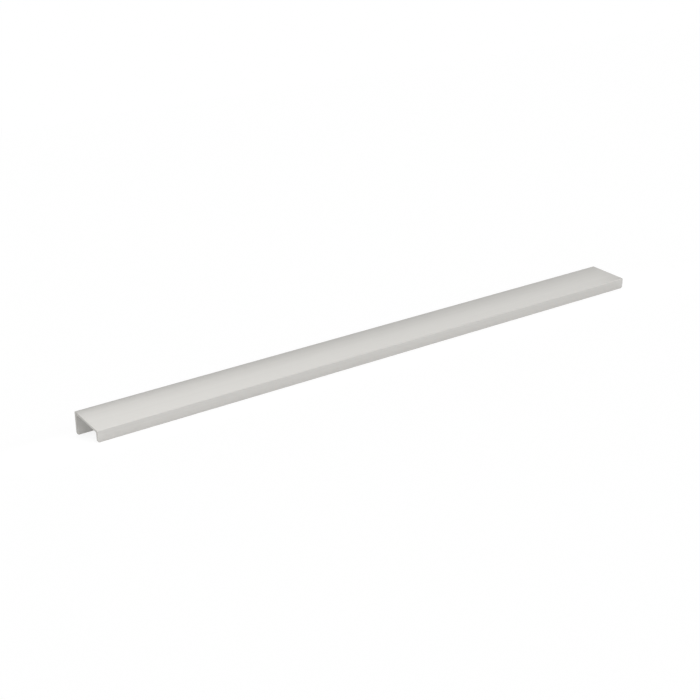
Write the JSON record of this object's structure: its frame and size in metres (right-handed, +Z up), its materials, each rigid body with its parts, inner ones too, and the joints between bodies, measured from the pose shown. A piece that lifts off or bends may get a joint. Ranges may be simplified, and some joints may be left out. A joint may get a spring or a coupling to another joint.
{
  "type": "lip pull handle",
  "caption": "Extruded aluminium lip pull: a straight channel with a wide top plate, a drilled back flange and a short front lip, screwed behind a drawer or door front.",
  "frame": {"origin": "middle of the box's lower face, on the floor that the part lies on", "axes": "+X along the extrusion, +Y towards the back flange's side, +Z up from the floor"},
  "size_m": [0.544, 0.0436, 0.0195],
  "materials": {
    "satin_anodised_aluminium": "satin anodised"
  },
  "bodies": {
    "root": {"lip_pull": "satin_anodised_aluminium"}
  },
  "joints": []
}
